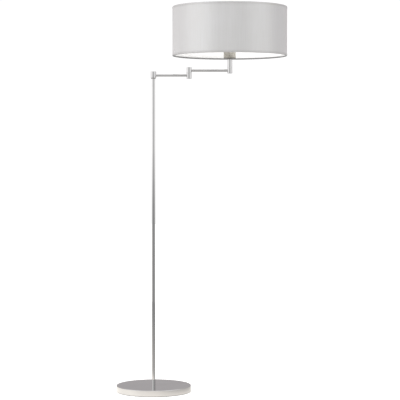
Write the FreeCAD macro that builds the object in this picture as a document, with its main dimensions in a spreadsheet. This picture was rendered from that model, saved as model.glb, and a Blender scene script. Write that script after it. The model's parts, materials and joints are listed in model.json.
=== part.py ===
import FreeCAD, Part
import math
import os
from types import SimpleNamespace

import Sketcher
from FreeCAD import Rotation, Vector

# Swing-arm floor lamp, millimetres, +Z up. The origin is the pole's axis at the floor, and +X runs
# along the two straight arms to the shade. Sketch heights are measured from the floor, so a piece
# on the elbow or on the shade's axis is only moved along X.

SIZES = {
    # Base
    "base_radius": 147.5,
    "base_height": 25.0,
    "cover_wall": 1.2,
    "cover_edge_round": 2.0,
    "cover_skirt_low": 2.0,
    "cover_hole_radius": 5.3,
    "pad_radius": 141.0,
    "pad_height": 3.0,
    "plate_radius": 145.8,
    "plate_wall": 1.2,
    "weight_radius": 144.0,
    "weight_hole_radius": 5.5,
    "weight_bell_radius": 17.0,
    "weight_web": 4.4,
    "weight_core_inner": 40.0,
    "weight_core_outer": 125.0,
    "weight_core_depth": 8.0,
    "screw_circle_radius": 134.0,
    "screw_radius": 2.0,
    "screw_head_radius": 3.8,
    "screw_length": 9.0,
    "cord_height": 9.0,
    "cord_groove_half": 4.0,
    "cord_hole_radius": 4.0,
    "grommet_bore_radius": 2.6,
    "grommet_flange_radius": 6.0,
    "grommet_flange": 1.5,
    "grommet_snap": 0.7,
    "grommet_set_in": 0.2,
    "base_washer_radius": 14.0,
    "base_washer_wall": 2.0,
    "base_nut_flats": 14.0,
    "base_nut_height": 3.0,
    "nipple_radius": 5.0,
    "nipple_bore_radius": 3.5,
    "base_stud_top": 46.0,
    # Pole
    "pole_radius": 6.5,
    "pole_bore_radius": 5.0,
    "pole_top": 1233.0,
    "spigot_length": 18.0,
    "spigot_bore_radius": 3.2,
    "pivot_root": 2.0,
    "pole_head_rim": 1.0,
    # Arms
    "elbow_reach": 140.0,
    "head_reach": 300.0,
    "arm_1_height": 1247.0,
    "arm_2_height": 1266.0,
    "arm_radius": 5.0,
    "arm_bore_radius": 4.0,
    "arm_end_gap": 0.1,
    # Swivels: a seam is the top face of the lower housing
    "seam_above_arm": 9.0,
    "arm_above_seam": 10.0,
    "housing_radius": 10.0,
    "pole_head_radius": 11.0,
    "housing_bore_radius": 8.0,
    "housing_edge": 0.5,
    "pole_head_top": 1262.0,
    "elbow_low": 1234.0,
    "elbow_top": 1279.0,
    "end_low": 1255.0,
    "cap_height": 3.0,
    "lower_web": 2.5,
    "upper_floor": 2.0,
    "pivot_radius": 4.0,
    "pivot_bore_radius": 2.5,
    "pivot_flange_radius": 6.5,
    "pivot_flange": 2.0,
    "pivot_above_seam": 7.3,
    "running_fit": 0.05,
    "thrust_washer_radius": 9.3,
    "thrust_washer_wall": 1.0,
    "thrust_gap": 0.1,
    "stop_washer_radius": 5.4,
    "stop_washer_wall": 1.0,
    "stop_tab_reach": 7.6,
    "stop_tab_half": 1.2,
    "stop_tab_root": 0.9,
    "stop_pin_radius": 0.9,
    "stop_pin_circle": 7.0,
    "stop_pin_low": 1.6,
    "stop_pin_top": 6.2,
    "pivot_nut_flats": 10.0,
    "pivot_nut_height": 2.2,
    "pivot_end_above_nut": 0.2,
    # Wire inside the tubes
    "wire_radius": 1.6,
    "wire_bend": 4.0,
    "wire_joint": 5.0,
    "wire_joint_gap": 0.2,
    "wire_base_end": 138.0,
    "wire_head_end": 1324.0,
    # Head
    "cup_low": 1313.0,
    "cup_radius": 24.0,
    "cup_top": 1359.0,
    "cup_wall": 1.0,
    "cup_edge_round": 3.0,
    "plug_height": 8.0,
    "head_nipple_low": 1299.0,
    "head_nipple_top": 1324.0,
    "nipple_nut_height": 3.0,
    "holder_cap_low": 1317.0,
    "holder_cap_radius": 19.5,
    "holder_cap_wall": 2.0,
    "holder_cap_round": 6.0,
    "holder_joint": 1338.0,
    "holder_shell_radius": 19.5,
    "holder_bore_radius": 15.0,
    "holder_shoulder_radius": 22.0,
    "holder_shoulder_low": 1357.5,
    "holder_shoulder_top": 1360.0,
    "holder_top": 1373.0,
    "holder_edge": 1.0,
    "core_low": 1331.0,
    "core_top": 1341.0,
    "core_radius": 14.5,
    "socket_radius": 14.0,
    "socket_wall": 0.4,
    "socket_top": 1370.0,
    "contact_top": 1343.8,
    "contact_radius": 3.0,
    "clamp_radius": 26.0,
    "clamp_top": 1369.0,
    # Shade
    "shade_radius": 225.0,
    "shade_low": 1323.0,
    "shade_height": 192.0,
    "shade_cover_wall": 0.8,
    "shade_liner_wall": 0.6,
    "trim_height": 8.0,
    "trim_wall": 0.5,
    "ring_wire_radius": 2.0,
    "hub_outer_radius": 29.0,
    "hub_inner_radius": 19.8,
    "hub_wall": 2.0,
    "spoke_wire_radius": 1.75,
    "spoke_inner_reach": 27.0,
    "spoke_ring_weld": 0.3,
    "spoke_hub_weld": 0.1,
    # Bulb
    "bulb_cap_low": 1343.8,
    "bulb_cap_radius": 13.2,
    "bulb_cap_top": 1371.0,
    "bulb_tip_radius": 5.0,
    "bulb_tip_height": 4.0,
    "bulb_radius": 30.0,
    "bulb_centre": 1421.0,
    "bulb_glass": 0.8,
    "bulb_neck_radius": 12.6,
    "bulb_neck_low": 1369.0,
    "bulb_waist_radius": 14.0,
    "bulb_waist_rise": 6.0,
    "bulb_belly_radius": 25.0,
    "bulb_belly_drop": 20.0,
    "bulb_belly_round": 42.0,
    "bulb_flare_round": 62.0,
}


class Size:
    """A size with its value and the sheet formula that drives it."""

    def __init__(self, value, formula=None):
        self.value = float(value)
        self.formula = formula or repr(float(value))

    def __add__(self, other):
        other = as_size(other)
        return Size(self.value + other.value, f"({self.formula} + {other.formula})")

    def __sub__(self, other):
        other = as_size(other)
        return Size(self.value - other.value, f"({self.formula} - {other.formula})")

    def __mul__(self, factor):
        return Size(self.value * factor, f"({self.formula} * {factor!r})")

    def __neg__(self):
        return Size(-self.value, f"(-{self.formula})")


def as_size(size):
    return size if isinstance(size, Size) else Size(size)


doc = FreeCAD.newDocument("floor_lamp")
sheet = doc.addObject("Spreadsheet::Sheet", "Sizes")
for row, (name, size) in enumerate(SIZES.items(), start=1):
    sheet.set(f"A{row}", name)
    sheet.set(f"B{row}", str(size))
    sheet.setAlias(f"B{row}", name)
doc.recompute()
d = SimpleNamespace(**{name: Size(size, f"Sizes.{name}") for name, size in SIZES.items()})

NO_SIZE = Size(0.0)
# How far a drilled cut runs on past the wall that it opens.
OVERRUN = 5
nodes = []


def bind(item, prop, size):
    """Drive one property from the sheet."""
    size = as_size(size)
    if "." not in prop:
        setattr(item, prop, size.value)
    item.setExpression(prop, size.formula)


def finish(item, label, along_x=None):
    """Name a sub-part and move it along X to its own axis."""
    item.Label = label
    if along_x is not None:
        item.setExpression(".Placement.Base.x", along_x.formula)
    nodes.append(item)
    return item


# ---- Sketches ----


def plane_of(body, role):
    return next(plane for plane in body.Origin.OriginFeatures if plane.Role == role)


def new_sketch(body, role, offset=None):
    sketch = body.newObject("Sketcher::SketchObject", "Sketch")
    sketch.AttachmentSupport = [(plane_of(body, role), "")]
    sketch.MapMode = "FlatFace"
    if offset is not None:
        sketch.setExpression(".AttachmentOffset.Base.z", offset.formula)
    return sketch


def pin_down(sketch, curve, end, point):
    """Hold one end of a curve at (across, up), measured from the sketch's origin."""
    for size, kind, axis in ((point[0], "DistanceX", -2), (point[1], "DistanceY", -1)):
        size = as_size(size)
        if abs(size.value) < 1e-9:
            sketch.addConstraint(Sketcher.Constraint("PointOnObject", curve, end, axis))
            continue
        ends = (-1, 1, curve, end) if size.value > 0 else (curve, end, -1, 1)
        rule = sketch.addConstraint(Sketcher.Constraint(kind, *ends, abs(size.value)))
        signed = size if size.value > 0 else -size
        sketch.setExpression(f"Constraints[{rule}]", signed.formula)


def flat(point):
    return Vector(as_size(point[0]).value, as_size(point[1]).value, 0)


def arc_between(start, end, radius, side):
    """The short arc from start to end, bulging to the left (side 1) or the right (side -1)."""
    middle = (start + end) * 0.5
    chord = end - start
    left = Vector(-chord.y, chord.x, 0).normalize()
    rise = math.sqrt(max(radius**2 - (chord.Length / 2) ** 2, 0.0))
    return Part.Arc(start, middle + left * side * (radius - rise), end)


def draw_chain(sketch, corners, closed):
    """Lines through the corners. A corner (across, up, radius, side) is reached by an arc."""
    count = len(corners)
    spans = count if closed else count - 1
    for i in range(spans):
        start, corner = corners[i], corners[(i + 1) % count]
        if len(corner) == 2:
            curve = Part.LineSegment(flat(start), flat(corner))
        else:
            radius, side = as_size(corner[2]), corner[3]
            curve = arc_between(flat(start), flat(corner), radius.value, side)
        sketch.addGeometry(curve, False)
    for i in range(spans):
        corner = corners[(i + 1) % count]
        start_end, far_end = 1, 2
        if len(corner) == 4:
            start_end, far_end = arc_ends(sketch, i, flat(corners[i]))
            rule = sketch.addConstraint(Sketcher.Constraint("Radius", i, as_size(corner[2]).value))
            sketch.setExpression(f"Constraints[{rule}]", as_size(corner[2]).formula)
        pin_down(sketch, i, start_end, corners[i])
        if closed or i < spans - 1:
            following = (i + 1) % count
            next_start = 1
            if len(corners[(following + 1) % count]) == 4:
                next_start = arc_ends(sketch, following, flat(corner))[0]
            rule = Sketcher.Constraint("Coincident", i, far_end, following, next_start)
            sketch.addConstraint(rule)
        else:
            pin_down(sketch, i, far_end, corner)


def arc_ends(sketch, curve, start):
    """Which ends of an arc are its first and last, since every arc is kept anticlockwise."""
    first = sketch.getPoint(curve, 1)
    return (1, 2) if (first - start).Length < 1e-6 else (2, 1)


def draw_circle(sketch, centre, radius):
    circle = Part.Circle(flat(centre), Vector(0, 0, 1), as_size(radius).value)
    curve = sketch.addGeometry(circle, False)
    pin_down(sketch, curve, 3, centre)
    rule = sketch.addConstraint(Sketcher.Constraint("Radius", curve, as_size(radius).value))
    sketch.setExpression(f"Constraints[{rule}]", as_size(radius).formula)


# ---- Features ----


def turn(corners):
    """A body turned about Z from corners given as (radius, height)."""
    body = doc.addObject("PartDesign::Body", "Body")
    sketch = new_sketch(body, "XZ_Plane")
    draw_chain(sketch, corners, closed=True)
    spin = body.newObject("PartDesign::Revolution", "Turn")
    spin.Profile = sketch
    spin.ReferenceAxis = (sketch, ["V_Axis"])
    spin.Angle = 360
    doc.recompute()
    return body


def sleeve(inner, outer, low, high):
    """A ring or a tube with a rectangular section."""
    return turn([(inner, low), (outer, low), (outer, high), (inner, high)])


def disc(radius, low, high):
    return turn([(NO_SIZE, low), (radius, low), (radius, high), (NO_SIZE, high)])


def cut(body, sketch, length, reverse):
    """Cut a sketch's outline out of a body, and make sure that the cut met it."""
    before = body.Shape.Volume
    pocket = body.newObject("PartDesign::Pocket", "Pocket")
    pocket.Profile = sketch
    pocket.Type = "Length"
    bind(pocket, "Length", length)
    pocket.Reversed = reverse
    doc.recompute()
    if not body.Shape.Volume < before - 0.1:
        raise RuntimeError(f"a cut in {body.Name} removed nothing")


def drill(body, role, centre, radius, length, reverse):
    sketch = new_sketch(body, role)
    draw_circle(sketch, centre, radius)
    cut(body, sketch, length, reverse)


def round_edges(body, radius, places):
    """Fillet the circular edges at (radius, height) places."""
    names = []
    for number, edge in enumerate(body.Shape.Edges, start=1):
        if not isinstance(edge.Curve, Part.Circle):
            continue
        here = (edge.Curve.Radius, edge.Curve.Center.z)
        if any(abs(here[0] - r.value) < 0.01 and abs(here[1] - z.value) < 0.01 for r, z in places):
            names.append(f"Edge{number}")
    if len(names) != len(places):
        raise RuntimeError(f"{body.Name} has {len(names)} of {len(places)} edges to round")
    base = body.Tip
    fillet = body.newObject("PartDesign::Fillet", "Fillet")
    fillet.Base = (base, names)
    bind(fillet, "Radius", radius)
    doc.recompute()


def nut(label, flats, bore, low, height, along_x=None):
    """A hexagon nut round the Z axis."""
    hexagon = doc.addObject("Part::Prism", "Hexagon")
    hexagon.Polygon = 6
    bind(hexagon, "Circumradius", flats * (1 / math.sqrt(3)))
    bind(hexagon, "Height", height)
    hexagon.setExpression(".Placement.Base.z", low.formula)
    hole = cylinder(bore, low, height)
    ring = doc.addObject("Part::Cut", "Nut")
    ring.Base = hexagon
    ring.Tool = hole
    return finish(ring, label, along_x)


def cylinder(radius, low, height):
    rod = doc.addObject("Part::Cylinder", "Cylinder")
    bind(rod, "Radius", radius)
    bind(rod, "Height", height)
    rod.setExpression(".Placement.Base.z", low.formula)
    return rod


def hose(label, role, corners, radius, along_x=None):
    """A round wire along a route drawn from its upright start, which is above the origin."""
    body = doc.addObject("PartDesign::Body", "Body")
    section = new_sketch(body, "XY_Plane", corners[0][1])
    draw_circle(section, (NO_SIZE, NO_SIZE), radius)
    route = new_sketch(body, role)
    draw_chain(route, corners, closed=False)
    pipe = body.newObject("PartDesign::AdditivePipe", "Pipe")
    pipe.Profile = section
    pipe.Spine = (route, [])
    doc.recompute()
    length = sum(edge.Length for edge in route.Shape.Edges)
    drawn = math.pi * radius.value**2 * length
    if abs(body.Shape.Volume - drawn) > 0.01 * drawn:
        raise RuntimeError(f"{label} is not its section times its length")
    print(f"{label}: {length:.1f} mm long")
    return finish(body, label, along_x)


# ---- Base ----


def make_base():
    plate_low = d.pad_height
    plate_top = plate_low + d.plate_wall
    cover_under = d.base_height - d.cover_wall
    bell_top = cover_under - d.weight_web

    finish(disc(d.pad_radius, NO_SIZE, d.pad_height), "base_pad")

    screws = make_screws(plate_low)
    finish(screws, "base_plate_screws")
    plate = doc.addObject("Part::Cut", "Plate")
    plate.Base = cylinder(d.plate_radius, plate_low, d.plate_wall)
    plate.Tool = screws
    finish(plate, "base_plate")

    weight = turn(
        [
            (d.weight_bell_radius, plate_top),
            (d.weight_core_inner, plate_top),
            (d.weight_core_inner, plate_top + d.weight_core_depth),
            (d.weight_core_outer, plate_top + d.weight_core_depth),
            (d.weight_core_outer, plate_top),
            (d.weight_radius, plate_top),
            (d.weight_radius, cover_under),
            (d.weight_hole_radius, cover_under),
            (d.weight_hole_radius, bell_top),
            (d.weight_bell_radius, bell_top),
        ]
    )
    groove = new_sketch(weight, "XY_Plane")
    half = d.cord_groove_half
    far = d.base_radius
    draw_chain(groove, [(-half, NO_SIZE), (half, NO_SIZE), (half, far), (-half, far)], closed=True)
    cut(weight, groove, d.cord_height + half, True)
    screw_holes = new_sketch(weight, "XY_Plane")
    for x, y in screw_places():
        draw_circle(screw_holes, (x, y), d.screw_radius)
    cut(weight, screw_holes, plate_low + d.screw_length, True)
    finish(weight, "base_weight")

    skirt_in = d.base_radius - d.cover_wall
    cover = turn(
        [
            (d.cover_hole_radius, d.base_height),
            (d.cover_hole_radius, cover_under),
            (skirt_in, cover_under),
            (skirt_in, d.cover_skirt_low),
            (d.base_radius, d.cover_skirt_low),
            (d.base_radius, d.base_height),
        ]
    )
    round_edges(cover, d.cover_edge_round, [(d.base_radius, d.base_height)])
    hole = (NO_SIZE, d.cord_height)
    drill(cover, "XZ_Plane", hole, d.cord_hole_radius, d.base_radius + OVERRUN, False)
    finish(cover, "base_cover")

    make_grommet(skirt_in)
    washer_low = bell_top - d.base_washer_wall
    nut_low = washer_low - d.base_nut_height
    washer = sleeve(d.nipple_radius, d.base_washer_radius, washer_low, bell_top)
    finish(washer, "base_washer")
    nut("base_nut", d.base_nut_flats, d.nipple_radius, nut_low, d.base_nut_height)
    stud = sleeve(d.nipple_bore_radius, d.nipple_radius, nut_low, d.base_stud_top)
    finish(stud, "base_stud")


def screw_places():
    """Four screws between the two base directions, clear of the cord's groove."""
    along = d.screw_circle_radius * math.sqrt(0.5)
    return [(along, along), (-along, along), (-along, -along), (along, -along)]


def make_screws(low):
    """Countersunk screws: each a shank with a cone for its head, flush with the plate."""
    pieces = []
    for x, y in screw_places():
        head = doc.addObject("Part::Cone", "Head")
        bind(head, "Radius1", d.screw_head_radius)
        bind(head, "Radius2", d.screw_radius)
        bind(head, "Height", d.plate_wall)
        head.setExpression(".Placement.Base.z", low.formula)
        screw = doc.addObject("Part::Fuse", "Screw")
        screw.Base = head
        screw.Tool = cylinder(d.screw_radius, low, d.screw_length)
        screw.setExpression(".Placement.Base.x", x.formula)
        screw.setExpression(".Placement.Base.y", y.formula)
        pieces.append(screw)
    group = doc.addObject("Part::Compound", "Screws")
    group.Links = pieces
    return group


def make_grommet(skirt_in):
    """A flanged bush in the skirt's rear hole, turned about Y."""
    inner_face = skirt_in - d.grommet_set_in
    lip = d.grommet_flange
    neck, flange, bore = d.cord_hole_radius, d.grommet_flange_radius, d.grommet_bore_radius
    snap = neck + d.grommet_snap
    corners = [
        (bore, inner_face - lip),
        (snap, inner_face - lip),
        (snap, inner_face),
        (neck, inner_face),
        (neck, d.base_radius),
        (flange, d.base_radius),
        (flange, d.base_radius + lip),
        (bore, d.base_radius + lip),
    ]
    body = doc.addObject("PartDesign::Body", "Body")
    sketch = new_sketch(body, "XY_Plane")
    draw_chain(sketch, corners, closed=True)
    spin = body.newObject("PartDesign::Revolution", "Turn")
    spin.Profile = sketch
    spin.ReferenceAxis = (sketch, ["V_Axis"])
    spin.Angle = 360
    doc.recompute()
    body.setExpression(".Placement.Base.z", d.cord_height.formula)
    finish(body, "cord_grommet")


# ---- Pole ----


def make_pole():
    seam = pole_seam()
    tube = sleeve(d.pole_bore_radius, d.pole_radius, d.base_height, d.pole_top)
    finish(tube, "pole_tube")
    spigot_low = d.pole_top - d.spigot_length
    pivot_low = d.pole_top - d.pivot_root
    cone = turn(
        [
            (d.spigot_bore_radius, spigot_low),
            (d.pole_bore_radius, spigot_low),
            (d.pole_bore_radius, d.pole_top),
            (d.pole_radius, d.pole_top),
            (d.pole_head_radius, seam - d.pole_head_rim),
            (d.pole_head_radius, seam),
            (d.pivot_radius, seam),
            (d.pivot_radius, pivot_low),
            (d.spigot_bore_radius, pivot_low),
        ]
    )
    finish(cone, "pole_head_cone")
    pivot = sleeve(d.pivot_bore_radius, d.pivot_radius, pivot_low, seam + d.pivot_above_seam)
    finish(pivot, "pole_pivot")
    make_pivot_stack("pole", seam)


def pole_seam():
    return d.arm_1_height - d.arm_above_seam


def elbow_seam():
    return d.arm_1_height + d.seam_above_arm


def end_seam():
    return d.arm_2_height + d.seam_above_arm


# ---- Swivels ----


def make_pivot_stack(name, seam, along_x=None):
    """What sits on a pivot: the thrust washer in the seam, the tabbed washer and the nut."""
    washer_top = seam + d.thrust_washer_wall
    washer = sleeve(d.pivot_radius, d.thrust_washer_radius, seam, washer_top)
    finish(washer, f"{name}_thrust_washer", along_x)

    nut_top = seam + d.pivot_above_seam - d.pivot_end_above_nut
    nut_low = nut_top - d.pivot_nut_height
    tab_low = nut_low - d.stop_washer_wall
    stop = sleeve(d.pivot_radius, d.stop_washer_radius, tab_low, nut_low)
    tab = new_sketch(stop, "XY_Plane", tab_low)
    start, reach = d.stop_washer_radius - d.stop_tab_root, d.stop_tab_reach
    half = d.stop_tab_half
    draw_chain(tab, [(start, -half), (reach, -half), (reach, half), (start, half)], closed=True)
    pad = stop.newObject("PartDesign::Pad", "Tab")
    pad.Profile = tab
    bind(pad, "Length", d.stop_washer_wall)
    doc.recompute()
    finish(stop, f"{name}_stop_washer", along_x)
    nut(f"{name}_pivot_nut", d.pivot_nut_flats, d.pivot_radius, nut_low, d.pivot_nut_height, along_x)


def make_flanged_pivot(name, seam, along_x):
    """A hollow screw whose flange bears under the lower housing's web."""
    flange_top = seam - d.lower_web
    low = flange_top - d.pivot_flange
    top = seam + d.pivot_above_seam
    pivot = turn(
        [
            (d.pivot_bore_radius, low),
            (d.pivot_flange_radius, low),
            (d.pivot_flange_radius, flange_top),
            (d.pivot_radius, flange_top),
            (d.pivot_radius, top),
            (d.pivot_bore_radius, top),
        ]
    )
    finish(pivot, f"{name}_pivot", along_x)


def make_lower_housing(name, cap_name, low, seam, arm_height, along_x):
    """A cup turned upside down: the arm enters its side from -X, and a plug closes its bottom."""
    outer, bore, edge = d.housing_radius, d.housing_bore_radius, d.housing_edge
    housing = turn(
        [
            (bore, low),
            (outer - edge, low),
            (outer, low + edge),
            (outer, seam),
            (d.pivot_radius, seam),
            (d.pivot_radius, seam - d.lower_web),
            (bore, seam - d.lower_web),
        ]
    )
    drill(housing, "YZ_Plane", (NO_SIZE, arm_height), d.arm_radius, outer + OVERRUN, False)
    finish(housing, name, along_x)
    finish(disc(bore, low, low + d.cap_height), cap_name, along_x)


def upper_outline(outer, seam, top, edge):
    floor_low = seam + d.thrust_washer_wall + d.thrust_gap
    floor_top = floor_low + d.upper_floor
    bearing = d.pivot_radius + d.running_fit
    return [
        (bearing, floor_low),
        (outer, floor_low),
        (outer, top - edge),
        (outer - edge, top),
        (d.housing_bore_radius, top),
        (d.housing_bore_radius, floor_top),
        (bearing, floor_top),
    ]


def add_stop_pin(housing, name, seam, along_x=None):
    """A pin upright in the floor, opposite the tab, and the blind hole that it is pressed in."""
    place = (-d.stop_pin_circle, NO_SIZE)
    low = seam + d.stop_pin_low
    high = seam + d.stop_pin_top
    sketch = new_sketch(housing, "XY_Plane", low)
    draw_circle(sketch, place, d.stop_pin_radius)
    cut(housing, sketch, d.stop_pin_top - d.stop_pin_low, True)

    pin = doc.addObject("PartDesign::Body", "Body")
    section = new_sketch(pin, "XY_Plane", low)
    draw_circle(section, place, d.stop_pin_radius)
    pad = pin.newObject("PartDesign::Pad", "Pin")
    pad.Profile = section
    bind(pad, "Length", high - low)
    doc.recompute()
    finish(pin, name, along_x)


def make_upper_housing(name, cap_name, pin_name, radius, seam, top, along_x=None):
    """A cup on the seam: the arm leaves its side towards +X, and a plug closes its top."""
    housing = turn(upper_outline(radius, seam, top, d.housing_edge))
    arm_height = seam + d.arm_above_seam
    drill(housing, "YZ_Plane", (NO_SIZE, arm_height), d.arm_radius, radius + OVERRUN, True)
    add_stop_pin(housing, pin_name, seam, along_x)
    finish(housing, name, along_x)
    finish(disc(d.housing_bore_radius, top - d.cap_height, top), cap_name, along_x)


# ---- Arms ----


def make_arm_tube(name, start, end, height):
    """A straight tube along X, from inside one housing's wall to inside the next one's."""
    body = doc.addObject("PartDesign::Body", "Body")
    sketch = new_sketch(body, "YZ_Plane", start)
    draw_circle(sketch, (NO_SIZE, height), d.arm_radius)
    draw_circle(sketch, (NO_SIZE, height), d.arm_bore_radius)
    pad = body.newObject("PartDesign::Pad", "Tube")
    pad.Profile = sketch
    bind(pad, "Length", end - start)
    doc.recompute()
    finish(body, name)


def make_arms():
    inset = d.housing_bore_radius + d.arm_end_gap
    make_upper_housing(
        "pole_head_housing",
        "pole_head_cap",
        "pole_head_stop_pin",
        d.pole_head_radius,
        pole_seam(),
        d.pole_head_top,
    )
    make_arm_tube("arm_1_tube", inset, d.elbow_reach - inset, d.arm_1_height)
    make_lower_housing(
        "elbow_lower_housing",
        "elbow_lower_cap",
        d.elbow_low,
        elbow_seam(),
        d.arm_1_height,
        d.elbow_reach,
    )
    make_flanged_pivot("elbow", elbow_seam(), d.elbow_reach)
    make_pivot_stack("elbow", elbow_seam(), d.elbow_reach)

    make_upper_housing(
        "elbow_upper_housing",
        "elbow_upper_cap",
        "elbow_stop_pin",
        d.housing_radius,
        elbow_seam(),
        d.elbow_top,
        d.elbow_reach,
    )
    arm_2_start = d.elbow_reach + inset
    make_arm_tube("arm_2_tube", arm_2_start, d.head_reach - inset, d.arm_2_height)
    make_lower_housing(
        "end_housing", "end_cap", d.end_low, end_seam(), d.arm_2_height, d.head_reach
    )
    make_flanged_pivot("end", end_seam(), d.head_reach)
    make_pivot_stack("end", end_seam(), d.head_reach)


# ---- Wire ----


def make_wires():
    """One wire from the base to the lampholder, in a length for each moving body."""
    bend, radius = d.wire_bend, d.wire_radius
    joint, gap = d.wire_joint, d.wire_joint_gap
    cord = d.cord_height
    hose(
        "wire_base",
        "YZ_Plane",
        [
            (NO_SIZE, pole_seam() + joint),
            (NO_SIZE, cord + bend),
            (bend, cord, bend, -1),
            (d.wire_base_end, cord),
        ],
        radius,
    )
    arms = [
        ("wire_arm_1", pole_seam(), d.arm_1_height, elbow_seam(), d.elbow_reach, None),
        (
            "wire_arm_2",
            elbow_seam(),
            d.arm_2_height,
            end_seam(),
            d.head_reach - d.elbow_reach,
            d.elbow_reach,
        ),
    ]
    for name, seam, height, next_seam, length, along_x in arms:
        hose(
            name,
            "XZ_Plane",
            [
                (NO_SIZE, seam + joint + gap),
                (NO_SIZE, height - bend),
                (bend, height, bend, 1),
                (length - bend, height),
                (length, height + bend, bend, -1),
                (length, next_seam + joint),
            ],
            radius,
            along_x,
        )
    start = end_seam() + joint + gap
    head_wire = disc(radius, start, d.wire_head_end)
    finish(head_wire, "wire_head", d.head_reach)


# ---- Head ----


def make_head():
    axis = d.head_reach
    seam = end_seam()
    post = turn(upper_outline(d.housing_radius, seam, d.cup_low, d.housing_edge))
    add_stop_pin(post, "post_stop_pin", seam, axis)
    finish(post, "head_post", axis)
    plug_low = d.cup_low - d.plug_height
    plug = sleeve(d.nipple_radius, d.housing_bore_radius, plug_low, d.cup_low)
    finish(plug, "post_plug", axis)
    nipple = sleeve(
        d.nipple_bore_radius, d.nipple_radius, d.head_nipple_low, d.head_nipple_top
    )
    finish(nipple, "head_nipple", axis)

    cup_in = d.cup_radius - d.cup_wall
    floor_top = d.cup_low + d.cup_wall
    cup_round = d.cup_edge_round
    cup = turn(
        [
            (d.nipple_radius, d.cup_low),
            (d.cup_radius - cup_round, d.cup_low),
            (d.cup_radius, d.cup_low + cup_round, cup_round, -1),
            (d.cup_radius, d.cup_top),
            (cup_in, d.cup_top),
            (cup_in, d.cup_low + cup_round),
            (d.cup_radius - cup_round, floor_top, cup_round - d.cup_wall, 1),
            (d.nipple_radius, floor_top),
        ]
    )
    finish(cup, "holder_cup", axis)
    nut(
        "nipple_nut",
        d.base_nut_flats,
        d.nipple_radius,
        floor_top,
        d.nipple_nut_height,
        axis,
    )
    make_lampholder(axis)


def make_lampholder(axis):
    cap_in = d.holder_cap_radius - d.holder_cap_wall
    floor_top = d.holder_cap_low + d.holder_cap_wall
    outer_round = d.holder_cap_round
    inner_round = outer_round - d.holder_cap_wall
    cap = turn(
        [
            (d.nipple_radius, d.holder_cap_low),
            (d.holder_cap_radius - outer_round, d.holder_cap_low),
            (d.holder_cap_radius, d.holder_cap_low + outer_round, outer_round, -1),
            (d.holder_cap_radius, d.holder_joint),
            (cap_in, d.holder_joint),
            (cap_in, d.holder_cap_low + outer_round),
            (cap_in - inner_round, floor_top, inner_round, 1),
            (d.nipple_radius, floor_top),
        ]
    )
    finish(cap, "lampholder_cap", axis)
    shell = turn(
        [
            (d.holder_bore_radius, d.holder_joint),
            (d.holder_shell_radius, d.holder_joint),
            (d.holder_shell_radius, d.holder_shoulder_low),
            (d.holder_shoulder_radius, d.holder_shoulder_low),
            (d.holder_shoulder_radius, d.holder_shoulder_top),
            (d.holder_shell_radius, d.holder_shoulder_top),
            (d.holder_shell_radius, d.holder_top - d.holder_edge),
            (d.holder_shell_radius - d.holder_edge, d.holder_top),
            (d.holder_bore_radius, d.holder_top),
        ]
    )
    finish(shell, "lampholder_shell", axis)
    finish(disc(d.core_radius, d.core_low, d.core_top), "lampholder_core", axis)
    finish(
        sleeve(d.socket_radius - d.socket_wall, d.socket_radius, d.core_top, d.socket_top),
        "lampholder_thread",
        axis,
    )
    finish(disc(d.contact_radius, d.core_top, d.contact_top), "lampholder_contact", axis)
    clamp_low = d.holder_shoulder_top + d.hub_wall
    clamp = turn(
        [
            (d.holder_shell_radius, clamp_low),
            (d.clamp_radius, clamp_low),
            (d.clamp_radius, d.clamp_top - d.holder_edge),
            (d.clamp_radius - d.holder_edge, d.clamp_top),
            (d.holder_shell_radius, d.clamp_top),
        ]
    )
    finish(clamp, "shade_clamp_ring", axis)


# ---- Bulb ----


def make_bulb():
    axis = d.head_reach
    radius, glass, neck = d.bulb_radius, d.bulb_glass, d.bulb_neck_radius
    cap = turn(
        [
            (NO_SIZE, d.bulb_cap_low),
            (d.bulb_tip_radius, d.bulb_cap_low),
            (d.bulb_cap_radius, d.bulb_cap_low + d.bulb_tip_height),
            (d.bulb_cap_radius, d.bulb_cap_top),
            (neck, d.bulb_cap_top),
            (neck, d.bulb_neck_low),
            (NO_SIZE, d.bulb_neck_low),
        ]
    )
    finish(cap, "bulb_cap", axis)
    centre = d.bulb_centre
    waist, waist_height = d.bulb_waist_radius, d.bulb_cap_top + d.bulb_waist_rise
    belly, belly_height = d.bulb_belly_radius, centre - d.bulb_belly_drop
    flare_round, belly_round = d.bulb_flare_round, d.bulb_belly_round
    envelope = turn(
        [
            (neck - glass, d.bulb_neck_low),
            (neck, d.bulb_neck_low),
            (neck, d.bulb_cap_top),
            (waist, waist_height),
            (belly, belly_height, flare_round, 1),
            (radius, centre, belly_round, -1),
            (NO_SIZE, centre + radius, radius, -1),
            (NO_SIZE, centre + radius - glass),
            (radius - glass, centre, radius - glass, 1),
            (belly - glass, belly_height, belly_round, 1),
            (waist - glass, waist_height, flare_round, -1),
            (neck - glass, d.bulb_cap_top),
        ]
    )
    finish(envelope, "bulb_envelope", axis)


# ---- Shade ----


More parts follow.
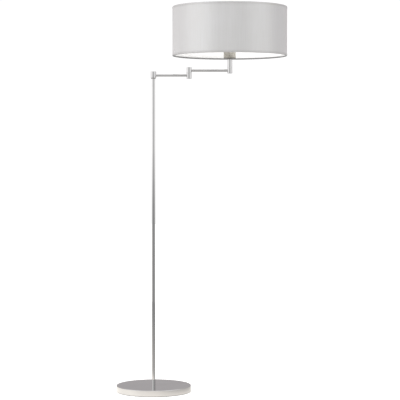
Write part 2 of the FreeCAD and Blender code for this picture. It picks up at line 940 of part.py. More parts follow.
def make_shade():
    axis = d.head_reach
    low, high = d.shade_low, d.shade_low + d.shade_height
    cover_in = d.shade_radius - d.shade_cover_wall
    liner_in = cover_in - d.shade_liner_wall
    cover = sleeve(cover_in, d.shade_radius, low, high)
    finish(cover, "shade_cover", axis)
    finish(sleeve(liner_in, cover_in, low, high), "shade_liner", axis)

    trim_out = d.shade_radius + d.trim_wall
    bands = [
        sleeve(d.shade_radius, trim_out, low, low + d.trim_height),
        sleeve(d.shade_radius, trim_out, high - d.trim_height, high),
    ]
    trims = doc.addObject("Part::Compound", "Trims")
    trims.Links = bands
    finish(trims, "shade_trims", axis)

    wire = d.ring_wire_radius
    ring_radius = liner_in - wire
    for name, height in (("shade_ring_top", high - wire), ("shade_ring_bottom", low + wire)):
        ring = doc.addObject("Part::Torus", "Ring")
        bind(ring, "Radius1", ring_radius)
        bind(ring, "Radius2", wire)
        ring.setExpression(".Placement.Base.z", height.formula)
        finish(ring, name, axis)

    hub_low = d.holder_shoulder_top
    hub = sleeve(d.hub_inner_radius, d.hub_outer_radius, hub_low, hub_low + d.hub_wall)
    finish(hub, "shade_hub", axis)
    make_spokes(axis, ring_radius, low + wire, hub_low)


def make_spokes(axis, ring_radius, ring_height, hub_low):
    """Three straight wires that rise from the bottom ring to the underside of the hub."""
    thin = d.spoke_wire_radius
    outer_reach = ring_radius - d.ring_wire_radius + d.spoke_ring_weld
    inner_height = hub_low - thin + d.spoke_hub_weld
    start = Vector(outer_reach.value, 0, ring_height.value)
    end = Vector(d.spoke_inner_reach.value, 0, inner_height.value)
    rods = []
    for heading in (90, 210, 330):
        turned = Rotation(Vector(0, 0, 1), heading)
        rod = doc.addObject("Part::Cylinder", "Spoke")
        bind(rod, "Radius", thin)
        rod.Height = (end - start).Length
        tilt = Rotation(Vector(0, 0, 1), end - start)
        rod.Placement = FreeCAD.Placement(turned.multVec(start), turned.multiply(tilt))
        rods.append(rod)
    group = doc.addObject("Part::Compound", "Spokes")
    group.Links = rods
    finish(group, "shade_spokes", axis)


# ---- Build ----


def check(item):
    if "Invalid" in item.State or "Error" in item.State:
        raise RuntimeError(f"{item.Name} ({item.Label}) did not recompute: {item.State}")


def main():
    make_base()
    make_pole()
    make_arms()
    make_wires()
    make_head()
    make_bulb()
    make_shade()
    doc.recompute()
    for item in doc.Objects:
        check(item)
    os.makedirs("parts", exist_ok=True)
    for node in nodes:
        if node.Shape.isNull() or not node.Shape.isValid() or not node.Shape.Solids:
            raise RuntimeError(f"{node.Label} has no valid solid")
        node.Shape.exportStep(f"parts/{node.Label}.step")
    print(f"{len(nodes)} nodes written")


main()
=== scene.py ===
import json
import math

import bpy
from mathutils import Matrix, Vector, noise


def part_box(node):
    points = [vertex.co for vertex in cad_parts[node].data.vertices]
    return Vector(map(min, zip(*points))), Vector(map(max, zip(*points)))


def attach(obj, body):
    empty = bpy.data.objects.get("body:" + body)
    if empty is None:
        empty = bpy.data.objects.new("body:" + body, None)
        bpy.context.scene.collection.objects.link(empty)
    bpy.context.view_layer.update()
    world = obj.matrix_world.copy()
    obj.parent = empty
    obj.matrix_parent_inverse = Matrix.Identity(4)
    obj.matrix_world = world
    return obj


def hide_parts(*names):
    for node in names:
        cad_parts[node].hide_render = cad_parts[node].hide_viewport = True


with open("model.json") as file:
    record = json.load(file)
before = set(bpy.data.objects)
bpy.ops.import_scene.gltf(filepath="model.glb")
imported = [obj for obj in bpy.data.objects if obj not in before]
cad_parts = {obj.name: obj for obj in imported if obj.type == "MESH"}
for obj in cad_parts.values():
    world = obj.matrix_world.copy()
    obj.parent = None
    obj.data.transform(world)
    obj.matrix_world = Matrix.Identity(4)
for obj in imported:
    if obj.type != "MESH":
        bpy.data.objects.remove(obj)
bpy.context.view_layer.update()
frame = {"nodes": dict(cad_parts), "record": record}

# The looks of a swing-arm floor lamp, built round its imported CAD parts. Lengths are in metres.

MM = 0.001

# ---- Places, read from the frame ----

SHADE_LOW, SHADE_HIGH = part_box("shade_cover")
CAP_LOW, CAP_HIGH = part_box("bulb_cap")
SHELL_LOW, SHELL_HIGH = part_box("lampholder_shell")
CLAMP_LOW, CLAMP_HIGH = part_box("shade_clamp_ring")
RING_LOW, RING_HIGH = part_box("shade_ring_top")
PAD_LOW, PAD_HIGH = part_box("base_pad")
HUB_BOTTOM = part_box("shade_hub")[0].z
BASE_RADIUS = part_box("base_cover")[1].x
HEAD_X = (SHADE_LOW.x + SHADE_HIGH.x) / 2
SHADE_RADIUS = (SHADE_HIGH.x - SHADE_LOW.x) / 2
SHADE_BOTTOM, SHADE_TOP = SHADE_LOW.z, SHADE_HIGH.z


# ---- Node trees ----

NUMBER_OPERATIONS = ("DOT_PRODUCT", "LENGTH", "DISTANCE")


class Graph:
    """The node tree of a world or a material, with short ways to add and join nodes."""

    def __init__(self, owner):
        owner.use_nodes = True
        self.tree = owner.node_tree

    def node(self, kind, **settings):
        made = self.tree.nodes.new(kind)
        for key, value in settings.items():
            setattr(made, key, value)
        return made

    def feed(self, source, socket):
        """Joins another node's output to a socket, or puts a plain value on it."""
        if isinstance(source, bpy.types.NodeSocket):
            self.tree.links.new(source, socket)
        else:
            socket.default_value = source

    def math(self, operation, first, second):
        made = self.node("ShaderNodeMath", operation=operation)
        self.feed(first, made.inputs[0])
        self.feed(second, made.inputs[1])
        return made.outputs[0]

    def vector_math(self, operation, *sources):
        made = self.node("ShaderNodeVectorMath", operation=operation)
        for source, socket in zip(sources, made.inputs):
            self.feed(source, socket)
        return made.outputs["Value" if operation in NUMBER_OPERATIONS else "Vector"]

    def remap(self, value, old, new=(0.0, 1.0), kind="SMOOTHSTEP"):
        """Carries a value from one range to another. The old range may fall instead of rise."""
        made = self.node("ShaderNodeMapRange", interpolation_type=kind)
        for socket, number in zip(("From Min", "From Max", "To Min", "To Max"), (*old, *new)):
            self.feed(number, made.inputs[socket])
        self.feed(value, made.inputs["Value"])
        return made.outputs["Result"]

    def ramp(self, value, levels):
        """Colours along a value: pairs of a position from 0 to 1 and a colour, in rising order."""
        made = self.node("ShaderNodeValToRGB")
        stops = made.color_ramp.elements
        stops.remove(stops[1])
        stops[0].position = levels[0][0]
        stops[0].color = (*levels[0][1], 1)
        for position, color in levels[1:]:
            stops.new(position).color = (*color, 1)
        self.feed(value, made.inputs["Fac"])
        return made.outputs["Color"]


# ---- Camera and light ----

CAMERA_PLACE = (0.1831, -5.7955, 0.9371)
CAMERA_TILT = math.radians(1.782)
CAMERA_LENS = 132.4
CAMERA_SENSOR = 36
CAMERA_SIGHT = 100

OVERHEAD_AZIMUTH = math.radians(-70)
OVERHEAD_DISTANCE = 1.3
OVERHEAD_HEIGHT = 3.6
OVERHEAD_SIDE = 1.3
OVERHEAD_RADIANCE = 6.0
OVERHEAD_TARGET = Vector((HEAD_X / 2, 0, 1.3))


def add_camera():
    """A long lens, a little above the lamp's middle and tipped slightly down."""
    camera = bpy.data.cameras.new("camera")
    camera.sensor_width = CAMERA_SENSOR
    camera.lens = CAMERA_LENS
    camera.clip_end = CAMERA_SIGHT
    eye = bpy.data.objects.new("camera", camera)
    eye.location = CAMERA_PLACE
    eye.rotation_euler = (math.pi / 2 - CAMERA_TILT, 0, 0)
    bpy.context.scene.collection.objects.link(eye)
    bpy.context.scene.camera = eye


def sideways(azimuth):
    """A level direction, its azimuth counted from the front towards the right."""
    return Vector((math.sin(azimuth), -math.cos(azimuth), 0))


def add_overhead_light():
    """A square light high on the left, which polished metal doesn't mirror."""
    light = bpy.data.lights.new("overhead", "AREA")
    light.shape = "SQUARE"
    light.size = OVERHEAD_SIDE
    light.energy = OVERHEAD_RADIANCE * math.pi * OVERHEAD_SIDE ** 2
    lamp = bpy.data.objects.new("overhead", light)
    lamp.location = OVERHEAD_TARGET + sideways(OVERHEAD_AZIMUTH) * OVERHEAD_DISTANCE
    lamp.location.z = OVERHEAD_HEIGHT
    lamp.rotation_euler = (OVERHEAD_TARGET - lamp.location).to_track_quat("-Z", "Y").to_euler()
    lamp.visible_camera = False
    lamp.visible_glossy = False
    bpy.context.scene.collection.objects.link(lamp)


# ---- Room ----

# Each room: how far up a direction points, and how bright it is there.
FRONT_ROOM = [(0.0, 0.52), (0.06, 0.57), (0.2, 0.60), (0.37, 0.70), (0.6, 1.25), (1.0, 1.1)]
BACK_ROOM = [(0.0, 0.72), (0.07, 0.70), (0.15, 0.47), (0.3, 0.47), (0.6, 0.75), (1.0, 0.9)]
FRONT_TINT = (1.0, 1.0, 1.0)
BACK_TINT = (1.0, 0.955, 0.97)
# How far back a direction points where the back room begins to show, and where it alone shows.
ROOMS_MEET = (-0.35, 0.35)
SKIRTING = (0.30, 0.30, 0.30, 1)
# How far up a direction points where the skirting begins to end, and where it has ended.
SKIRTING_TOP = (-0.05, 0.015)
PATCH_SHARE_BELOW = 0.5
# Each patch: azimuth from the front towards the right, height, (inner, outer) reach, flatness, level.
PATCHES = [
    (-66, 0.06, (14, 44), 1.8, 0.72),
    (-125, 0.0, (20, 50), 6.0, 0.4),
    (64, 0.06, (10, 42), 2.0, 0.68),
    (6, 0.36, (8, 24), 1.0, 0.34),
]
# The flag: azimuth, (inner, outer) reach, heights where it begins and ends, level taken away.
FLAG = (56, (44, 68), (0.115, 0.135), (0.20, 0.175), 0.56)
BACKDROP = (1, 1, 1, 1)
BACKDROP_STRENGTH = 1.05


class Room(Graph):
    """A studio seen from inside: grey walls and ceiling with soft brighter patches."""

    def __init__(self):
        world = bpy.data.worlds.new("studio")
        bpy.context.scene.world = world
        super().__init__(world)
        self.tree.nodes.clear()
        self.direction = self.node("ShaderNodeTexCoord").outputs["Generated"]
        split = self.node("ShaderNodeSeparateXYZ")
        self.feed(self.direction, split.inputs[0])
        self.forward, self.up = split.outputs["Y"], split.outputs["Z"]

    def profile(self, levels, tint):
        """Brightness by height: pairs of the direction's upward part and a level of the tint."""
        stops = [((up + 1) / 2, [level * part for part in tint]) for up, level in levels]
        return self.ramp(self.remap(self.up, (-1.0, 1.0), kind="LINEAR"), stops)

    def blend(self, factor, first, second):
        mix = self.node("ShaderNodeMix", data_type="RGBA")
        for socket, source in zip(("Factor", "A", "B"), (factor, first, second)):
            self.feed(source, mix.inputs[socket])
        return mix.outputs["Result"]

    def patch(self, azimuth, height, reach, flatness, level):
        """A soft patch round one direction, that may reach less far up than sideways."""
        aim = sideways(math.radians(azimuth))
        aim.z = height * flatness
        squashed = self.vector_math("MULTIPLY", self.direction, (1, 1, flatness))
        unit = self.vector_math("NORMALIZE", squashed)
        near = self.vector_math("DOT_PRODUCT", unit, aim.normalized())
        inner, outer = (math.cos(math.radians(angle)) for angle in reach)
        return self.remap(near, (outer, inner), (0.0, level))

    def flag(self, azimuth, reach, begin, end, level):
        """A soft-edged upright panel that takes light away between two heights."""
        sides = self.patch(azimuth, 0.0, reach, 0.0, level)
        heights = self.math("MULTIPLY", self.remap(self.up, begin), self.remap(self.up, end))
        return self.math("MULTIPLY", sides, heights)

    def brightness(self):
        """The two rooms with their skirting and patches, less the flag."""
        low, high = SKIRTING_TOP
        front, back = self.profile(FRONT_ROOM, FRONT_TINT), self.profile(BACK_ROOM, BACK_TINT)
        total = self.blend(self.remap(self.forward, ROOMS_MEET), front, back)
        total = self.blend(self.remap(self.up, (high, low)), total, SKIRTING)
        share = self.remap(self.up, (low, high), (PATCH_SHARE_BELOW, 1.0))
        for patch in PATCHES:
            total = self.vector_math("MULTIPLY_ADD", self.patch(*patch), share, total)
        return self.vector_math("SUBTRACT", total, self.flag(*FLAG))

    def finish(self):
        """The room lights the lamp and shows in it; the camera sees a white backdrop instead."""
        room = self.node("ShaderNodeBackground")
        self.feed(self.brightness(), room.inputs["Color"])
        backdrop = self.node("ShaderNodeBackground")
        self.feed(BACKDROP, backdrop.inputs["Color"])
        self.feed(BACKDROP_STRENGTH, backdrop.inputs["Strength"])
        choose = self.node("ShaderNodeMixShader")
        self.feed(self.node("ShaderNodeLightPath").outputs["Is Camera Ray"], choose.inputs["Fac"])
        self.feed(room.outputs[0], choose.inputs[1])
        self.feed(backdrop.outputs[0], choose.inputs[2])
        self.feed(choose.outputs[0], self.node("ShaderNodeOutputWorld").inputs["Surface"])


# ---- Floor ----

FLOOR_REACH = 14
FLOOR_COLOR = (0.92, 0.915, 0.905, 1)
FLOOR_ROUGHNESS = 0.8
FLOOR_GLOSS = 0.1
FLOOR_GLOW = 0.55
# Half the width of the painted shadow's soft edge round the base.
PAINTED_SHADOW_EDGE = 7 * MM
POOL_REACH = 3.5
POOL_HEIGHT = 0.2 * MM
POOL_CENTRE = (-0.12, -0.06, 0)
# The pool of light: distance from its centre, and its colour there.
POOL_LEVELS = [
    (0.1, (1.36, 1.31, 1.23)),
    (0.27, (1.04, 0.992, 0.933)),
    (0.36, (0.72, 0.695, 0.665)),
    (0.5, (0.58, 0.567, 0.55)),
    (1.2, (0.48, 0.47, 0.46)),
    (2.4, (0.38, 0.38, 0.38)),
    (3.5, (0.34, 0.34, 0.34)),
]
DISC_STEPS = 96


def add_disc(name, material, radius, height=0.0):
    """A flat round sheet of the stage, with the lamp's foot in its middle."""
    turns = [2 * math.pi * i / DISC_STEPS for i in range(DISC_STEPS)]
    corners = [(radius * math.cos(turn), radius * math.sin(turn), height) for turn in turns]
    mesh = bpy.data.meshes.new(name)
    mesh.from_pydata(corners, [], [tuple(range(DISC_STEPS))])
    mesh.materials.append(material)
    disc = bpy.data.objects.new(name, mesh)
    bpy.context.scene.collection.objects.link(disc)
    return disc


def add_floor():
    """Pale matt paper, lit a little from below, as far as any view reaches; the glow fades out under
    the base as a painted contact shadow.
    """
    material = bpy.data.materials.new("floor")
    graph = Graph(material)
    shader = graph.tree.nodes["Principled BSDF"]
    graph.feed(FLOOR_COLOR, shader.inputs["Base Color"])
    graph.feed(FLOOR_COLOR, shader.inputs["Emission Color"])
    graph.feed(FLOOR_ROUGHNESS, shader.inputs["Roughness"])
    graph.feed(FLOOR_GLOSS, shader.inputs["Specular IOR Level"])
    away = graph.vector_math("LENGTH", graph.node("ShaderNodeTexCoord").outputs["Object"])
    # Painted shadow: the floor's glow fades to nothing under the base and just round its edge.
    painted_shadow_rim = (BASE_RADIUS - PAINTED_SHADOW_EDGE, BASE_RADIUS + PAINTED_SHADOW_EDGE)
    glow = graph.remap(away, painted_shadow_rim, (0.0, FLOOR_GLOW))
    graph.feed(glow, shader.inputs["Emission Strength"])
    floor = add_disc("floor", material, FLOOR_REACH)
    floor.visible_glossy = False


def add_pool_of_light():
    """What polished metal sees of the floor: a lit pool round the lamp that dims outwards."""
    material = bpy.data.materials.new("pool_of_light")
    graph = Graph(material)
    graph.tree.nodes.clear()
    place = graph.node("ShaderNodeTexCoord").outputs["Object"]
    away = graph.vector_math("DISTANCE", place, POOL_CENTRE)
    share = graph.remap(away, (0.0, POOL_REACH), kind="LINEAR")
    stops = [(distance / POOL_REACH, color) for distance, color in POOL_LEVELS]
    glow = graph.node("ShaderNodeEmission")
    graph.feed(graph.ramp(share, stops), glow.inputs["Color"])
    graph.feed(glow.outputs[0], graph.node("ShaderNodeOutputMaterial").inputs["Surface"])
    pool = add_disc("pool_of_light", material, POOL_REACH, POOL_HEIGHT)
    pool.visible_camera = pool.visible_diffuse = pool.visible_shadow = False
    pool.visible_transmission = pool.visible_volume_scatter = False


# ---- Materials ----

# The part of its 0 to 1 range that a noise texture mostly keeps to.
NOISE_RANGE = (0.3, 0.7)
# How far apart the bands of a wave texture of scale 1 lie.
WAVE_PERIOD = 0.314
CROSS_THREADS = 320
COVER_COLOR = (0.603, 0.601, 0.600)
TRIM_COLOR = (0.545, 0.541, 0.538)
# Painted shade inside the lower trim's fold: radius, half the soft edge's width, share of light kept.
RIM_PAINTED_SHADE = (SHADE_RADIUS - 1.6 * MM, 0.4 * MM, 0.42)
# Each moulded or sprayed finish: colour, roughness, size and depth of its grain, mottling.
GRAINED = {
    "black_paint": ((0.03, 0.03, 0.03), 0.5, 0.6 * MM, 0.05 * MM, 0.05),
    "pad_foam": ((0.035, 0.035, 0.037), 0.85, 0.9 * MM, 0.25 * MM, 0.15),
    "black_rubber": ((0.02, 0.02, 0.02), 0.6, 0.7 * MM, 0.05 * MM, 0.1),
    "nylon": ((0.70, 0.70, 0.67), 0.5, 0.8 * MM, 0.03 * MM, 0.05),
    "wire_sheath": ((0.75, 0.75, 0.73), 0.45, 1.5 * MM, 0.04 * MM, 0.05),
    "white_plastic": ((0.74, 0.74, 0.72), 0.3, 1.2 * MM, 0.02 * MM, 0.02),
    "steatite": ((0.76, 0.74, 0.68), 0.55, 0.5 * MM, 0.06 * MM, 0.04),
    "white_paint": ((0.74, 0.74, 0.735), 0.38, 1.0 * MM, 0.04 * MM, 0.02),
}
# Each turned metal: colour, roughness, pitch of its tool rings.
TURNED = {
    "zinc_steel": ((0.60, 0.61, 0.63), 0.3, 0.25 * MM),
    "brass": ((0.72, 0.53, 0.24), 0.25, 0.25 * MM),
    "bulb_cap_metal": ((0.62, 0.62, 0.62), 0.28, 0.4 * MM),
}


class Finish(Graph):
    """A procedural material: one Principled shader with patterns in object space, in metres."""

    def __init__(self, name, color, rough, **sockets):
        self.material = bpy.data.materials.new(name)
        super().__init__(self.material)
        self.shader = self.tree.nodes["Principled BSDF"]
        self.place = self.node("ShaderNodeTexCoord").outputs["Object"]
        self.color = color
        self.put((*color, 1), "Base Color")
        self.put(rough, "Roughness")
        for socket, value in sockets.items():
            self.put(value, socket.replace("_", " "))

    def put(self, source, socket):
        self.feed(source, self.shader.inputs[socket])

    def noise(self, scale, detail, place=None):
        texture = self.node("ShaderNodeTexNoise")
        self.feed(scale, texture.inputs["Scale"])
        self.feed(detail, texture.inputs["Detail"])
        self.feed(place or self.place, texture.inputs["Vector"])
        return texture.outputs["Fac"]

    def streaks(self, scales, detail):
        """Noise with its own scale along X, Y and Z, drawn out where the scale is small."""
        mapping = self.node("ShaderNodeMapping")
        self.feed(self.place, mapping.inputs["Vector"])
        self.feed(scales, mapping.inputs["Scale"])
        return self.noise(1, detail, mapping.outputs["Vector"])

    def rings(self, scale):
        """Even waves up the height."""
        texture = self.node("ShaderNodeTexWave", wave_type="BANDS", bands_direction="Z")
        self.feed(scale, texture.inputs["Scale"])
        self.feed(self.place, texture.inputs["Vector"])
        return texture.outputs["Fac"]

    def tint(self, factor, dark, light):
        """Colour that wanders between two multiples of the base colour."""
        ends = [[part * times for part, times in zip(self.color, end)] for end in (dark, light)]
        self.put(self.ramp(factor, list(zip(NOISE_RANGE, ends))), "Base Color")

    def roughen(self, factor, low, high):
        """Roughness that wanders between two values."""
        self.put(self.remap(factor, NOISE_RANGE, (low, high), kind="LINEAR"), "Roughness")

    def bump(self, height, distance):
        bump = self.node("ShaderNodeBump")
        self.feed(distance, bump.inputs["Distance"])
        self.feed(height, bump.inputs["Height"])
        self.put(bump.outputs["Normal"], "Normal")

    def paint_shade_within(self, radius, soft, share):
        """Painted shade: cloth darker nearer to the head's axis than a radius, inside the lower rim's
        fold.
        """
        level = self.vector_math("MULTIPLY", self.place, (1, 1, 0))
        away = self.vector_math("DISTANCE", level, (HEAD_X, 0, 0))
        kept = self.remap(away, (radius - soft, radius + soft), (share, 1.0))
        tinted = self.shader.inputs["Base Color"].links[0].from_socket
        self.put(self.vector_math("MULTIPLY", tinted, kept), "Base Color")


def chrome():
    """Polished plate: handling haze and hair-fine wipe marks."""
    finish = Finish("chrome", (0.64, 0.636, 0.634), 0.05, Metallic=1.0)
    haze = finish.noise(14, 4)
    wipes = finish.streaks((900, 900, 40), 4)
    finish.tint(haze, dark=(0.95, 0.95, 0.955), light=(1.03, 1.03, 1.03))
    finish.roughen(finish.math("MULTIPLY", haze, wipes), low=0.03, high=0.14)
    return finish.material


def satin_nickel():
    """Nickel brushed round its axis: fine rings up the height and a warm cast."""
    finish = Finish("satin_nickel", (0.52, 0.50, 0.45), 0.3, Metallic=1.0)
    brushing = finish.streaks((30, 30, 4000), 3)
    finish.tint(finish.noise(25, 4), dark=(0.93, 0.93, 0.92), light=(1.05, 1.05, 1.05))
    finish.roughen(brushing, low=0.16, high=0.28)
    finish.bump(brushing, 0.01 * MM)
    return finish.material


def shade_fabric(name, color, painted_shade=None):
    """Silver-grey satin on stiff film: upright threads with slubs, and a cross thread."""
    finish = Finish(name, color, 0.36, Metallic=0.4, Specular_IOR_Level=0.5)
    threads = finish.streaks((2600, 2600, 60), 2)
    slubs = finish.streaks((420, 420, 9), 3)
    cross_threads = finish.math("MULTIPLY", finish.rings(CROSS_THREADS), 0.35)
    mottle = finish.math("MULTIPLY", finish.math("ADD", slubs, finish.noise(7, 3)), 0.5)
    finish.tint(mottle, dark=(0.95, 0.945, 0.935), light=(1.04, 1.045, 1.055))
    # Painted shade: darker cloth inside the lower trim's fold.
    if painted_shade:
        finish.paint_shade_within(*painted_shade)
    finish.roughen(slubs, low=0.28, high=0.38)
    finish.bump(finish.math("ADD", threads, cross_threads), 0.06 * MM)
    return finish.material


def shade_lining():
    """White film with the pressed grain of its backing."""
    finish = Finish("shade_lining", (0.90, 0.90, 0.895), 0.45, Specular_IOR_Level=0.4)
    grain = finish.noise(1400, 3)
    finish.tint(finish.noise(12, 3), dark=(0.985, 0.985, 0.98), light=(1.01, 1.01, 1.012))
    finish.roughen(grain, low=0.4, high=0.55)
    finish.bump(grain, 0.03 * MM)
    return finish.material


def cast_iron():
    """Sand-cast skin: pits, lumps and a little oxide."""
    finish = Finish("cast_iron", (0.09, 0.088, 0.085), 0.75, Metallic=0.6)
    sand = finish.noise(700, 6)
    finish.tint(finish.noise(40, 5), dark=(0.7, 0.68, 0.66), light=(1.3, 1.22, 1.1))
    finish.roughen(sand, low=0.6, high=0.9)
    finish.bump(sand, 0.3 * MM)
    return finish.material


def opal_glass():
    """White-flashed glass: glossy outside, with the coating's slight cloudiness."""
    finish = Finish("opal_glass", (0.82, 0.82, 0.81), 0.12, Coat_Weight=0.6,
                    Subsurface_Weight=0.25, Subsurface_Radius=(0.01, 0.01, 0.01),
                    Subsurface_Scale=0.5)
    finish.tint(finish.noise(60, 4), dark=(0.97, 0.97, 0.965), light=(1.01, 1.01, 1.01))
    finish.roughen(finish.noise(160, 3), low=0.1, high=0.2)
    finish.bump(finish.noise(90, 2), 0.02 * MM)
    return finish.material


def grained(name, color, rough, grain_size, depth, mottling):
    """Moulded or sprayed surfaces: an even grain, a little mottling and uneven gloss."""
    finish = Finish(name, color, rough)
    grain = finish.noise(1 / grain_size, 3)
    finish.tint(finish.noise(18, 3), dark=(1 - mottling,) * 3, light=(1 + mottling,) * 3)
    finish.roughen(grain, low=rough * 0.85, high=min(1.0, rough * 1.2))
    finish.bump(grain, depth)
    return finish.material


def turned(name, color, rough, pitch):
    """Turned metal: fine tool rings along Z and dulled patches."""
    finish = Finish(name, color, rough, Metallic=1.0)
    dulled = finish.noise(90, 4)
    finish.tint(dulled, dark=(0.85, 0.85, 0.84), light=(1.06, 1.06, 1.05))
    finish.roughen(dulled, low=rough * 0.8, high=rough * 1.4)
    finish.bump(finish.rings(WAVE_PERIOD / pitch), 0.015 * MM)
    return finish.material


def make_materials():
    """A material for each slot of the record, and the trims' darker versions of the cover's."""
    materials = {
        "chrome": chrome(),
        "satin_nickel": satin_nickel(),
        "cast_iron": cast_iron(),
        "shade_fabric": shade_fabric("shade_fabric", COVER_COLOR),
        "shade_lining": shade_lining(),
        "opal_glass": opal_glass(),
        "shade_trim_top": shade_fabric("shade_trim_top", TRIM_COLOR),
        # The lower trim carries painted shade inside its fold.
        "shade_trim_bottom": shade_fabric("shade_trim_bottom", TRIM_COLOR, RIM_PAINTED_SHADE),
    }
    for name, values in GRAINED.items():
        materials[name] = grained(name, *values)
    for name, values in TURNED.items():
        materials[name] = turned(name, *values)
    return materials


# ---- Mesh helpers ----

SMOOTH_ANGLE = math.radians(40)
# Radii closer together than this count as the same.
SAME = 0.01 * MM


def new_piece(name, vertices, faces, material, body, slot):
    mesh = bpy.data.meshes.new(name)
    mesh.from_pydata([tuple(vertex) for vertex in vertices], [], faces)
    mesh.validate()
    mesh.shade_smooth()
    mesh.set_sharp_from_angle(angle=SMOOTH_ANGLE)
    mesh.materials.append(material)
    piece = bpy.data.objects.new(name, mesh)
    bpy.context.scene.collection.objects.link(piece)
    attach(piece, body)
    return piece


def ring_of_sections(sections, closed_round=True):
    """Vertices and faces of a tube of equal closed sections, joined end to end or capped."""
    count, size = len(sections), len(sections[0])
    vertices = [point for section in sections for point in section]
    faces = []
    for i in range(count if closed_round else count - 1):
        here, there = i * size, (i + 1) % count * size
        for j in range(size):
            k = (j + 1) % size
            faces.append((here + j, there + j, there + k, here + k))
    if not closed_round:
        faces.append(tuple(range(size)))
        faces.append(tuple(reversed(range((count - 1) * size, count * size))))
    return vertices, faces


def around(angle, radius, height, axis=HEAD_X):
    return Vector((axis + radius * math.cos(angle), radius * math.sin(angle), height))


def lathe(name, outline, steps, wobble, *where, axis=HEAD_X):
    """A closed outline of (radius, height) turned round an upright axis, the head's by default.

    The wobble says how much each point's radius changes, from its angle, radius and height.
    """
    sections = []
    for i in range(steps):
        angle = 2 * math.pi * i / steps
        section = []
        for radius, height in outline:
            radius = radius + wobble(angle, radius, height)
            section.append(around(angle, radius, height, axis))
        sections.append(section)
    vertices, faces = ring_of_sections(sections)
    return new_piece(name, vertices, faces, *where)


def offset_path(path, thickness):
    """A closed outline with the path as its middle line, and square ends."""
    left, right = [], []
    for i, point in enumerate(path):
        before, after = path[max(i - 1, 0)], path[min(i + 1, len(path) - 1)]
        along = (Vector(after) - Vector(before)).normalized()
        side = Vector((-along.y, along.x)) * thickness / 2
        left.append(tuple(Vector(point) + side))
        right.append(tuple(Vector(point) - side))
    return left + right[::-1]


def climb(radius, low, high, step):
    """Points straight up a wall, close enough together to carry a thread."""
    count = max(2, round((high - low) / step))
    return [(radius, low + (high - low) * i / count) for i in range(count + 1)]


def ease(t):
    """Rises smoothly from 0 to 1 as t does, and stays level outside that."""
    t = min(max(t, 0.0), 1.0)
    return t * t * (3 - 2 * t)


def unevenness(angle, fineness, level):
    """Smooth noise along a circle: fineness is the circle's radius in the noise, level its height."""
    return noise.noise(Vector((math.cos(angle) * fineness, math.sin(angle) * fineness, level)))


def groove(angle, height, pitch):
    """From 0 on the crest of a round right-hand thread to 1 in its groove."""
    return 0.5 - 0.5 * math.cos(2 * math.pi * height / pitch - angle)


# ---- Shade ----

COVER_WALL = 0.8 * MM
LINER_WALL = 0.6 * MM
LAYER_GAP = 0.05 * MM
LAP = 10 * MM
LAP_RISE = COVER_WALL + LAYER_GAP
# The cover starts to rise this many widths of its lap before the lap.
LAP_EASE = 1.5
SEAM_ANGLE = math.radians(78)
# Both sheets stop short of the shade's edges, where the trims turn inwards.
SHEET_LOW, SHEET_HIGH = SHADE_BOTTOM + 1.0 * MM, SHADE_TOP - 1.0 * MM
SHEET_ROWS, SHEET_COLUMNS = 24, 360
# The rolled sheets' waves: fineness round the drum, fineness per metre up it, level and depth.
HAND_WAVES = [(2.2, 3, 0, 0.45 * MM), (6, 4, 7, 0.18 * MM)]

TRIM_WALL = 0.4 * MM
TRIM_GAP = 0.12 * MM
TRIM_STEPS = 600
# The tape from its outer edge to its fold: how far inside its outside, and how far from the edge.
TRIM_FOLD = [
    (0.0, 8.0 * MM), (-0.1 * MM, 4.0 * MM), (0.0, 2.0 * MM), (0.35 * MM, 0.7 * MM),
    (1.3 * MM, -0.1 * MM),
]
# The tape's points round the ring's wire: from the side at the shade's edge, past its inside.
WRAP_START = math.radians(90)
WRAP_STEP = math.radians(22.5)
WRAP_POINTS = 8
# The tape's tucked end: two heights past the wire's centre, in radii of the wrapped wire.
TUCK_HEIGHTS = (1.1, 1.25)
TUCK_INSET = 0.3 * MM
PUCKER_FINENESS = 30
PUCKER_DEPTH = 0.12 * MM
# The tape is lifted by the cover's lap from this far inside the cover's outside, over this width.
LIFT_DEPTH = 2.0 * MM
LIFT_SOFT = 1.5 * MM
# Each trim: the shade's edge that it folds over, and which way the shade lies from there.
TRIMS = {"shade_trim_top": (SHADE_TOP, -1), "shade_trim_bottom": (SHADE_BOTTOM, 1)}


def hand(angle, height):
    """The slight unevenness of a shade rolled by hand: broad waves, and smaller ones in them."""
    total = 0.0
    for fineness, rise, level, depth in HAND_WAVES:
        total += depth * unevenness(angle, fineness, height * rise + level)
    return total


def rolled_sheet(name, outer, wall, step_out, *where):
    """A sheet rolled into a drum, whose end laps over its start at the rear."""
    turn = 2 * math.pi
    lap_angle = LAP / outer
    rise_angle = LAP_EASE * lap_angle
    sections = []
    for i in range(SHEET_COLUMNS + 1):
        along = i / SHEET_COLUMNS * (turn + lap_angle)
        lifted = ease((along - turn + rise_angle) / rise_angle) * step_out
        angle = SEAM_ANGLE + along
        outside, inside = [], []
        for j in range(SHEET_ROWS + 1):
            height = SHEET_LOW + (SHEET_HIGH - SHEET_LOW) * j / SHEET_ROWS
            radius = outer + lifted + hand(angle, height)
            outside.append(around(angle, radius, height))
            inside.append(around(angle, radius - wall, height))
        sections.append(outside + inside[::-1])
    vertices, faces = ring_of_sections(sections, closed_round=False)
    return new_piece(name, vertices, faces, *where)


def add_cover(materials):
    cover = rolled_sheet("shade_cover_cloth", SHADE_RADIUS, COVER_WALL, LAP_RISE,
                         materials["shade_fabric"], "head", "shade_fabric")
    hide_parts("shade_cover")


def add_lining(materials):
    outer = SHADE_RADIUS - COVER_WALL - LAYER_GAP
    lining = rolled_sheet("shade_lining_film", outer, LINER_WALL, 0.0,
                          materials["shade_lining"], "head", "shade_lining")
    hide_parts("shade_liner")


